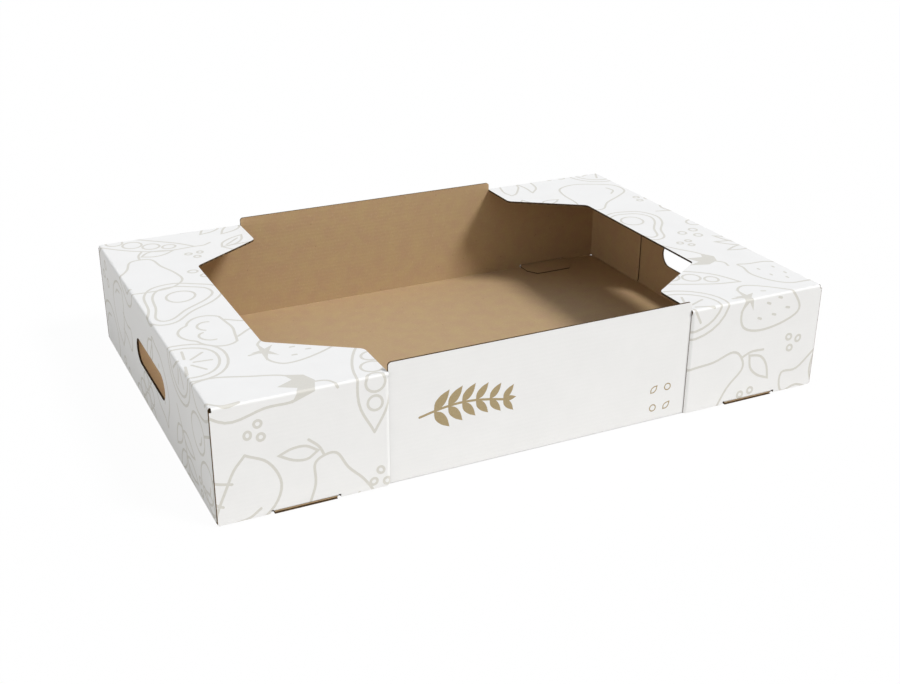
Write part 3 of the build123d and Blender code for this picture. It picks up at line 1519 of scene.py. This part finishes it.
class PaperMaterial:
    """Material of one paper or ink, laid out on the blank in metres."""

    cloud_edges = (0.34, 0.66)
    cloud_grain = 0.6

    def __init__(self, finish: Finish, board: Board) -> None:
        """Starts an empty material.

        Args:
            finish: What the material looks like.
            board: The board whose flutes show through its liners.
        """
        self.finish = finish
        self.board = board
        self.material = bpy.data.materials.new(finish.name)
        self.tree = clear_tree(self.material)
        self.place = add_node(self.tree, "ShaderNodeUVMap", uv_map=FLAT_MAP).outputs["UV"]

    def clouds(self) -> bpy.types.NodeSocket:
        """Colour that drifts between the finish's two tones.

        Returns:
            The colour's socket.
        """
        finish = self.finish
        low, high = self.cloud_edges
        noise = add_node(
            self.tree,
            "ShaderNodeTexNoise",
            {
                "Vector": self.place,
                "Scale": 1 / (finish.cloud_mm * MM),
                "Detail": finish.octaves,
                "Roughness": self.cloud_grain,
            },
        )
        spread = add_node(
            self.tree,
            "ShaderNodeMapRange",
            {"Value": noise.outputs["Fac"], "From Min": low, "From Max": high},
        )
        mix = add_node(
            self.tree,
            "ShaderNodeMix",
            {0: spread.outputs["Result"], 6: linear(finish.colour), 7: linear(finish.shade)},
            data_type="RGBA",
        )
        return mix.outputs[2]

    def relief(self) -> bpy.types.NodeSocket:
        """Normal of a liner: the flutes behind it and the tooth of its paper.

        Returns:
            The normal's socket.
        """
        tree, finish = self.tree, self.finish
        apart = add_node(tree, "ShaderNodeSeparateXYZ", {0: self.place})
        turns = TURN / (self.board.flute_pitch * MM)
        phase = add_node(tree, "ShaderNodeMath", {0: apart.outputs["Y"], 1: turns}, operation="MULTIPLY")
        wave = add_node(tree, "ShaderNodeMath", {0: phase.outputs[0]}, operation="COSINE")
        flutes = add_node(
            tree,
            "ShaderNodeBump",
            {"Height": wave.outputs[0], "Distance": finish.washboard_mm * MM, "Strength": 1.0},
        )
        grain = add_node(
            tree,
            "ShaderNodeTexNoise",
            {"Vector": self.place, "Scale": 1 / (finish.tooth_mm * MM), "Detail": 2.0},
        )
        tooth = add_node(
            tree,
            "ShaderNodeBump",
            {
                "Height": grain.outputs["Fac"],
                "Distance": finish.tooth_height_mm * MM,
                "Strength": 1.0,
                "Normal": flutes.outputs["Normal"],
            },
        )
        return tooth.outputs["Normal"]

    def fibres(self, colour: bpy.types.NodeSocket) -> bpy.types.NodeSocket:
        """Loose fibres on a brown liner, paler than it.

        Args:
            colour: Colour under them.

        Returns:
            The colour's socket.
        """
        tree, finish = self.tree, self.finish
        low, high = finish.fibre_edges
        along = add_node(
            tree,
            "ShaderNodeMapping",
            {"Vector": self.place, "Scale": (finish.fibre_stretch, 1.0, 1.0)},
        )
        strands = add_node(
            tree,
            "ShaderNodeTexNoise",
            {
                "Vector": along.outputs["Vector"],
                "Scale": 1 / (finish.fibre_mm * finish.fibre_stretch * MM),
                "Detail": 1.0,
                "Distortion": finish.fibre_curl,
            },
        )
        amount = add_node(
            tree,
            "ShaderNodeMapRange",
            {
                "Value": strands.outputs["Fac"],
                "From Min": low,
                "From Max": high,
                "To Max": finish.fibre_share,
            },
        )
        paler = add_node(
            tree,
            "ShaderNodeMix",
            {0: amount.outputs["Result"], 6: colour, 7: linear(finish.fibre)},
            data_type="RGBA",
        )
        return paler.outputs[2]

    def specks(self, colour: bpy.types.NodeSocket) -> bpy.types.NodeSocket:
        """Scattered specks in a brown liner, darker than it.

        Args:
            colour: Colour under them.

        Returns:
            The colour's socket.
        """
        tree, finish = self.tree, self.finish
        rim, full = finish.speck_edges
        grit = add_node(
            tree,
            "ShaderNodeTexVoronoi",
            {"Vector": self.place, "Scale": 1 / (finish.speck_apart_mm * MM)},
        )
        amount = add_node(
            tree,
            "ShaderNodeMapRange",
            {
                "Value": grit.outputs["Distance"],
                "From Min": rim,
                "From Max": full,
                "To Max": finish.speck_share,
            },
        )
        darker = add_node(
            tree,
            "ShaderNodeMix",
            {0: amount.outputs["Result"], 6: colour, 7: linear(finish.speck)},
            data_type="RGBA",
        )
        return darker.outputs[2]

    def build(self) -> bpy.types.Material:
        """Lays the finish on the material.

        Returns:
            The material.
        """
        colour = self.clouds()
        if isinstance(self.finish, KraftLiner):
            colour = self.specks(self.fibres(colour))
        inputs = {
            "Base Color": colour,
            "Roughness": self.finish.roughness,
            "IOR": self.finish.ior,
            "Specular IOR Level": self.finish.gloss,
        }
        if isinstance(self.finish, Liner):
            inputs["Normal"] = self.relief()
        shader = add_node(self.tree, "ShaderNodeBsdfPrincipled", inputs)
        add_node(self.tree, "ShaderNodeOutputMaterial", {"Surface": shader.outputs["BSDF"]})
        return self.material


@dataclass
class Layer:
    """One paper of the board: a skin on its printed side, a skin under it and the cut rim between."""

    upper: FlatMesh
    under: FlatMesh
    upper_depth: Depth
    under_depth: Depth
    printed: bool = False
    under_paper: Paper = Paper.FLUTING


class BoardMesh:
    """Collects the papers of the board in one mesh."""

    tilt_step = 0.004
    tilt_inset = 0.05

    def __init__(self, blank: Blank) -> None:
        """Starts with no paper.

        Args:
            blank: The sheet that the papers are laid on and folded with.
        """
        self.blank = blank
        self.places: list[np.ndarray] = []
        self.count = 0
        self.faces: list[tuple[int, ...]] = []
        self.papers: list[int] = []
        self.flats: list[np.ndarray] = []
        self.normals: list[np.ndarray] = []

    def skin_normals(self, corners: np.ndarray, depth: Depth) -> np.ndarray:
        """Normals on the printed side of a skin, one for each corner of its triangles.

        Each is taken a little inside its own triangle, so two panels never mix at a cut.

        Args:
            corners: Places on the blank, by triangle and corner.
            depth: How deep the skin lies at a place.

        Returns:
            Unit normals, one row for each corner.
        """
        inward = corners.mean(1, keepdims=True) - corners
        reach = np.maximum(np.linalg.norm(inward, axis=2, keepdims=True), TINY)
        flat = (corners + inward * np.minimum(self.tilt_inset / reach, 0.5)).reshape(-1, 2)
        slopes = []
        for step in ((self.tilt_step, 0.0), (0.0, self.tilt_step)):
            ahead, behind = flat + step, flat - step
            slopes.append(self.blank.fold(ahead, depth(ahead)) - self.blank.fold(behind, depth(behind)))
        normals = np.cross(slopes[1], slopes[0])
        return normals / np.maximum(np.linalg.norm(normals, axis=1), TINY)[:, None]

    def add_skin(self, mesh: FlatMesh, depth: Depth, papers: np.ndarray, outward: bool) -> int:
        """Adds one face of a paper.

        Args:
            mesh: Its triangles on the blank.
            depth: How deep it lies at a place.
            papers: Material slot of each triangle.
            outward: Whether it faces the printed side.

        Returns:
            Number of its first vertex.
        """
        first = self.count
        self.places.append(self.blank.fold(mesh.points, depth(mesh.points)))
        self.count += len(mesh.points)
        triangles = mesh.triangles[:, ::-1] if outward else mesh.triangles
        normals = self.skin_normals(mesh.points[triangles], depth) * (1 if outward else -1)
        self.faces += [tuple(int(i) + first for i in triangle) for triangle in triangles]
        self.papers += [int(p) for p in papers]
        self.flats.append(mesh.points[triangles.ravel()])
        self.normals.append(normals)
        return first

    def add_layer(self, layer: Layer) -> None:
        """Adds a paper with both its faces and its cut rim.

        Args:
            layer: The paper.
        """
        plain = np.full(len(layer.upper.triangles), Paper.FLUTING.value)
        upper_papers = layer.upper.papers if layer.printed else plain
        under_papers = np.full(len(layer.under.triangles), layer.under_paper.value)
        top = self.add_skin(layer.upper, layer.upper_depth, upper_papers, outward=True)
        bottom = self.add_skin(layer.under, layer.under_depth, under_papers, outward=False)
        below = KDTree(len(layer.under.points))
        for k, point in enumerate(layer.under.points):
            below.insert((*point, 0.0), k)
        below.balance()
        corners = []
        for a, b in layer.upper.rim():
            c, d = (below.find((*layer.upper.points[k], 0.0))[1] for k in (a, b))
            self.faces.append((int(a) + top, int(b) + top, d + bottom, c + bottom))
            self.papers.append(Paper.FLUTING.value)
            corners += [a, b, b, a]
        self.flats.append(layer.upper.points[corners])
        self.normals.append(np.zeros((len(corners), 3)))

    def build(self, name: str, materials: Sequence[bpy.types.Material]) -> bpy.types.Object:
        """Makes the object.

        Args:
            name: Its name.
            materials: Its materials, in the order of Paper.

        Returns:
            The object, linked to the scene.
        """
        mesh = bpy.data.meshes.new(name)
        mesh.from_pydata((np.vstack(self.places) * MM).tolist(), [], self.faces)
        for material in materials:
            mesh.materials.append(material)
        mesh.polygons.foreach_set("material_index", np.array(self.papers, np.int32))
        mesh.polygons.foreach_set("use_smooth", np.ones(len(self.papers), bool))
        layer = mesh.uv_layers.new(name=FLAT_MAP)
        layer.uv.foreach_set("vector", (np.vstack(self.flats) * MM).astype(np.float32).ravel())
        mesh.update()
        normals = np.vstack(self.normals)
        rims = ~normals.any(1)
        facing = np.array([polygon.normal for polygon in mesh.polygons])
        counts = np.array([len(face) for face in self.faces])
        normals[rims] = np.repeat(facing, counts, 0)[rims]
        mesh.normals_split_custom_set(normals.tolist())
        return add_object(name, mesh)


class CorrugatedSheet:
    """The folded sheet: printed liner, flutes and kraft liner in one piece."""

    name = "printed_board"

    def __init__(self, size: TraySize) -> None:
        """Works out the blank."""
        self.size = size
        self.blank = Blank(size)

    def ramp(self, past: np.ndarray, ahead: int = 0) -> np.ndarray:
        """Share of a press's run at a distance past a place, or ahead of it by whole runs."""
        return np.clip(past / self.size.board.press_run + ahead, 0.0, 1.0)

    def white_press(self, flat: np.ndarray) -> np.ndarray:
        """How far the die's rubber has pressed an outer flap's free edge flat, from the printed side.

        Args:
            flat: Places on the blank.

        Returns:
            Share of the way from the full board, 0, to the pressed edge, 1.
        """
        u, v = np.abs(flat).T
        return self.ramp(u - self.blank.mouth_u, 1) ** 2 * self.ramp(v - self.blank.flap.start(1))

    def brown_press(self, flat: np.ndarray) -> np.ndarray:
        """How far corner flaps' free edges and the locking tabs are pressed thin, from the brown side.

        Args:
            flat: Places on the blank.

        Returns:
            Share of the way from the full board, 0, to the pressed board, 1.
        """
        size, blank = self.size, self.blank
        u, v = np.abs(flat).T
        end = blank.corner_flap_end
        beside_wall = (v > blank.side.start(1)) & (v < blank.wall_v(size.height)) & (u < end + blank.margin)
        on_tab = np.abs(u - blank.tab_u) < size.tab_half + blank.margin
        return np.where(beside_wall, self.ramp(u - end, 1) ** 2, self.ramp(v - blank.tab.start(2)) * on_tab)

    def press_lines(self) -> list[tuple[Point, Point]]:
        """Lines at which the presses are stepped.

        Returns:
            The two ends of each.
        """
        board, blank = self.size.board, self.blank
        edge, end = blank.mouth_u, blank.corner_flap_end
        flap_top, flap_foot = blank.flap.start(1), blank.foot_v
        low, high = blank.tucked
        near, far = blank.tab_sides
        quarter = []
        for k in range(board.press_steps + 1):
            run = board.press_run * k / board.press_steps
            quarter.append(((edge - run, flap_top), (edge - run, flap_foot)))
            quarter.append(((edge - board.press_run, flap_top + run), (edge, flap_top + run)))
            quarter.append(((end - run, low), (end - run, high)))
            quarter.append(((near, blank.tab.start(2) + run), (far, blank.tab.start(2) + run)))
        return [ends for line in quarter for ends in blank.in_quarters(line)]

    def pressed(self, full: np.ndarray, flat: np.ndarray) -> np.ndarray:
        """Depths in the board as the die leaves it.

        Args:
            full: Depths in the full board.
            flat: Places on the blank.

        Returns:
            Depths where the edges and tabs are pressed.
        """
        board = self.size.board
        white = self.white_press(flat) * (1 - board.pressed_edge / board.thickness)
        brown = self.brown_press(flat) * (1 - board.pressed_tab / board.thickness)
        return full + white * (board.thickness - full) - brown * full

    def level(self, depth: float) -> Depth:
        """Depth of a face of a liner, the same all over but where the board is pressed."""
        return lambda flat: self.pressed(np.full(len(flat), depth), flat)

    def wave(self, offset: float) -> Depth:
        """Depth of a face of the fluting.

        Args:
            offset: How far it lies inside the middle of the paper.

        Returns:
            Depth by place on the blank.
        """
        board = self.size.board
        reach = board.thickness / 2 - board.liner - board.medium / 2
        turns = TURN / board.flute_pitch
        middle = board.thickness / 2 + offset
        return lambda flat: self.pressed(middle + reach * np.cos(turns * flat[:, 1]), flat)

    def flute_lines(self) -> list[tuple[Point, Point]]:
        """Lines along the flutes at which their wave is stepped.

        Returns:
            The two ends of each.
        """
        board = self.size.board
        step = board.flute_pitch / board.flute_steps
        reach = math.ceil(self.blank.tab_v(self.size.outer_half_width - self.size.tab_reach) / step)
        long = self.blank.shelf_u(0.0)
        return [((-long, k * step), (long, k * step)) for k in range(-reach, reach + 1)]

    def painted_gap_shade(self) -> list[Patch]:
        """Painted shade: strips of brown edge colour on the white face along the outer flaps' corner cuts,
        standing in for the shadow in the gap between flap and end wall.

        Returns:
            The strips, one at each flap.
        """
        size, blank = self.size, self.blank
        inner, outer = blank.cut_u - blank.margin, blank.cut_u + size.board.gap_shade_width
        low, high = blank.flap.start(1) + size.notch_drop, blank.foot_v
        # Painted shade of the corner gap: a strip of edge colour on the white face beside the cut.
        shade_strip = ((inner, low), (outer, low), (outer, high), (inner, high))
        return [Patch(shape, Paper.FLUTING) for shape in blank.in_quarters(shade_strip)]

    def printed_papers(self, printed: FlatMesh) -> np.ndarray:
        """Keeps the line print to end walls, shelves and outer flaps.

        Args:
            printed: The printed face as the plates would print it.

        Returns:
            Paper or ink of each triangle.
        """
        middle = np.abs(printed.points[printed.triangles].mean(1))
        on_bottom = middle[:, 0] < self.blank.end.start(1)
        on_corner_flap = (middle[:, 1] > self.blank.flap.runs[0]) & (middle[:, 0] < self.blank.cut_u)
        unprinted = (on_bottom | on_corner_flap) & (printed.papers == Paper.LINE_INK.value)
        return np.where(unprinted, Paper.COATED.value, printed.papers)

    def build(self) -> bpy.types.Object:
        """Builds and dresses the sheet.

        Returns:
            The piece.
        """
        board, blank = self.size.board, self.blank
        front, press = FrontPrint(blank), self.press_lines()
        patches = [*AllOverPrint(blank).patches(), *front.sprig(), *front.marks(), *self.painted_gap_shade()]
        printed = blank.cut(patches, press)
        printed.papers = self.printed_papers(printed)
        bare = blank.cut([], press)
        waved = blank.cut([], [*self.flute_lines(), *press])
        back = blank.cut([], press, printed.loops())
        half, inner = board.medium / 2, board.thickness - board.liner
        mesh = BoardMesh(blank)
        mesh.add_layer(Layer(printed, back, self.level(0.0), self.level(board.liner), printed=True))
        mesh.add_layer(Layer(waved, waved, self.wave(-half), self.wave(half)))
        brown = Layer(bare, bare, self.level(inner), self.level(board.thickness), under_paper=Paper.KRAFT)
        mesh.add_layer(brown)
        finishes = {
            Paper.COATED: CoatedLiner(),
            Paper.LINE_INK: FlexoInk("pale_line_ink", "DAD8D0", "D6D4CC"),
            Paper.SPOT_INK: FlexoInk("khaki_spot_ink", "AE9C77", "A6946E"),
            Paper.FLUTING: FlutingPaper(),
            Paper.KRAFT: KraftLiner(),
        }
        return mesh.build(self.name, [PaperMaterial(finishes[paper], board).build() for paper in Paper])


@dataclass(frozen=True)
class Lamp:
    """A lamp as far away as the sun: direction towards it, strength, softness and colour."""

    name: str
    toward: tuple[float, float, float]
    strength: float
    softness_deg: float
    colour: str = WHITE

    def build(self) -> None:
        """Makes the lamp."""
        data = bpy.data.lights.new(self.name, "SUN")
        data.energy = self.strength
        data.angle = math.radians(self.softness_deg)
        data.color = linear(self.colour)[:3]
        lamp = add_object(self.name, data)
        lamp.rotation_mode = "QUATERNION"
        lamp.rotation_quaternion = Vector(self.toward).to_track_quat("Z", "Y")


@dataclass(frozen=True)
class Studio:
    """White floor and surroundings, soft lamps and the camera."""

    floor_half_mm: float = 9000.0
    floor_seen: str = "FAFAFA"
    floor_bounce: str = "CFCFCF"
    floor_shadow_share: float = 0.035
    sky: str = "FFFEF8"
    sky_strength: float = 0.42
    lamps: tuple[Lamp, ...] = (
        Lamp("key", (0.62, -0.68, 1.0), 2.4, 15.0, "FFFDFD"),
        Lamp("overhead", (0.0, 0.0, 1.0), 0.24, 60.0, "7CAEFF"),
        Lamp("fill", (-0.95, -0.3, 0.12), 0.38, 20.0, "FFF8F4"),
    )
    eye_mm: tuple[float, float, float] = (-505.7, -1041.3, 547.9)
    aim_mm: tuple[float, float, float] = (23.5, 40.3, 0.0)
    roll_deg: float = 0.32
    lens_mm: float = 49.97
    sensor_mm: float = 36.0

    def build_floor(self) -> bpy.types.Object:
        """Floor that looks white, keeps a faint shadow and bounces a plain light.

        Returns:
            The floor.
        """
        material = bpy.data.materials.new("white_studio_floor")
        tree = clear_tree(material)
        bounce = add_node(tree, "ShaderNodeBsdfDiffuse", {"Color": linear(self.floor_bounce)})
        paint = add_node(tree, "ShaderNodeBsdfDiffuse", {"Color": linear(self.floor_seen)})
        white = add_node(tree, "ShaderNodeEmission", {"Color": linear(WHITE), "Strength": 1.0})
        shaded = add_node(
            tree,
            "ShaderNodeMixShader",
            {0: self.floor_shadow_share, 1: white.outputs[0], 2: paint.outputs[0]},
        )
        both = add_node(
            tree,
            "ShaderNodeMixShader",
            {0: self.seen(tree), 1: bounce.outputs[0], 2: shaded.outputs[0]},
        )
        add_node(tree, "ShaderNodeOutputMaterial", {"Surface": both.outputs[0]})
        half = self.floor_half_mm * MM
        corners = [(-half, -half, 0), (half, -half, 0), (half, half, 0), (-half, half, 0)]
        mesh = bpy.data.meshes.new("studio_floor")
        mesh.from_pydata(corners, [], [(0, 1, 2, 3)])
        mesh.materials.append(material)
        return add_object("studio_floor", mesh)

    def seen(self, tree: bpy.types.NodeTree) -> bpy.types.NodeSocket:
        """Whether a ray shows the surroundings: from the camera, a reflection or through glass.

        Args:
            tree: Tree of the floor or the world.

        Returns:
            Socket that is 1 for such a ray and 0 for one that only brings light.
        """
        path = add_node(tree, "ShaderNodeLightPath")
        found = path.outputs["Is Camera Ray"]
        for kind in ("Is Glossy Ray", "Is Transmission Ray"):
            either = add_node(
                tree,
                "ShaderNodeMath",
                {0: found, 1: path.outputs[kind]},
                operation="MAXIMUM",
            )
            found = either.outputs[0]
        return found

    def build_world(self) -> None:
        """White surroundings that light the object at a plain level."""
        world = bpy.data.worlds.new("studio")
        tree = clear_tree(world)
        light = add_node(
            tree,
            "ShaderNodeBackground",
            {"Color": linear(self.sky), "Strength": self.sky_strength},
        )
        white = add_node(tree, "ShaderNodeBackground", {"Color": linear(WHITE), "Strength": 1.0})
        both = add_node(
            tree,
            "ShaderNodeMixShader",
            {0: self.seen(tree), 1: light.outputs[0], 2: white.outputs[0]},
        )
        add_node(tree, "ShaderNodeOutputWorld", {"Surface": both.outputs[0]})
        bpy.context.scene.world = world

    def build_camera(self) -> None:
        """Camera at the photograph's place."""
        data = bpy.data.cameras.new("camera")
        data.lens = self.lens_mm
        data.sensor_width = self.sensor_mm
        data.sensor_fit = "HORIZONTAL"
        camera = add_object("camera", data)
        eye, aim = Vector(self.eye_mm) * MM, Vector(self.aim_mm) * MM
        turn = (aim - eye).to_track_quat("-Z", "Y").to_matrix()
        roll = Matrix.Rotation(math.radians(self.roll_deg), 3, "Z")
        camera.matrix_world = Matrix.Translation(eye) @ (turn @ roll).to_4x4()
        bpy.context.scene.camera = camera

    def build(self) -> None:
        """Builds the studio."""
        self.build_camera()
        self.build_floor()
        self.build_world()
        for lamp in self.lamps:
            lamp.build()
        bpy.context.scene.view_settings.view_transform = "Standard"


def main() -> None:
    """Builds the studio and the tray, and logs the counts of the tray mesh's vertices and faces."""
    logging.basicConfig(level=logging.INFO, format="%(name)s: %(message)s")
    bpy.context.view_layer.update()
    Studio().build()
    piece = CorrugatedSheet(TraySize.from_frame()).build()
    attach(piece, "root")
    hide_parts(NODE)
    log.info("%s: %d vertices, %d faces", piece.name, len(piece.data.vertices), len(piece.data.polygons))


if __name__ == "__main__":
    main()
